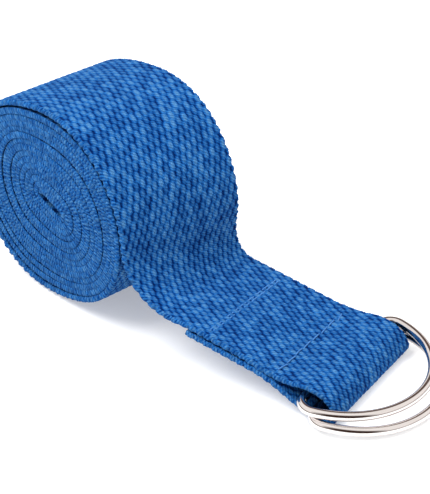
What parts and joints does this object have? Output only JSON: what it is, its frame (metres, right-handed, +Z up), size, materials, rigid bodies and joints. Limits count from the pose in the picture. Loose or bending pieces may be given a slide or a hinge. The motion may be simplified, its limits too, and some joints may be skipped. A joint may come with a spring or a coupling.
{
  "type": "stretching strap",
  "caption": "Cotton webbing stretching strap, rolled up, with D-rings sewn into a loop at its working end.",
  "frame": {"origin": "under the middle of the whole strap's bounding box, on the surface it lies on", "axes": "+X along the flat tail towards the D-rings, +Y across the tail, +Z up"},
  "size_m": [0.1512, 0.062, 0.0606],
  "materials": {
    "blue_webbing": "woven cotton, matt",
    "nickel_wire": "polished nickel-plated steel",
    "sewing_thread": "twisted light blue thread"
  },
  "bodies": {
    "roll": {"webbing_roll": "blue_webbing", "webbing_bend": "blue_webbing"},
    "tail": {"webbing_tail": "blue_webbing", "webbing_loop": "blue_webbing", "webbing_fold_under": "blue_webbing", "stitch_row_inner": "sewing_thread", "stitch_row_outer": "sewing_thread"},
    "ring_upper": {"d_ring_upper": "nickel_wire"},
    "ring_lower": {"d_ring_lower": "nickel_wire"}
  },
  "joints": [
    {"name": "tail_lift", "type": "hinge", "parent": "roll", "child": "tail", "pos_m": [0.00776, -0.00687, 0.0136], "axis": [0, -1, 0], "range_deg": [0, 30]},
    {"name": "ring_upper_swing", "type": "hinge", "parent": "tail", "child": "ring_upper", "pos_m": [0.04796, -0.00687, 0.00618], "axis": [0, -1, 0], "range_deg": [0, 155]},
    {"name": "ring_lower_swing", "type": "hinge", "parent": "tail", "child": "ring_lower", "pos_m": [0.05116, -0.00687, 0.00323], "axis": [0, 1, 0], "range_deg": [0, 120]}
  ]
}
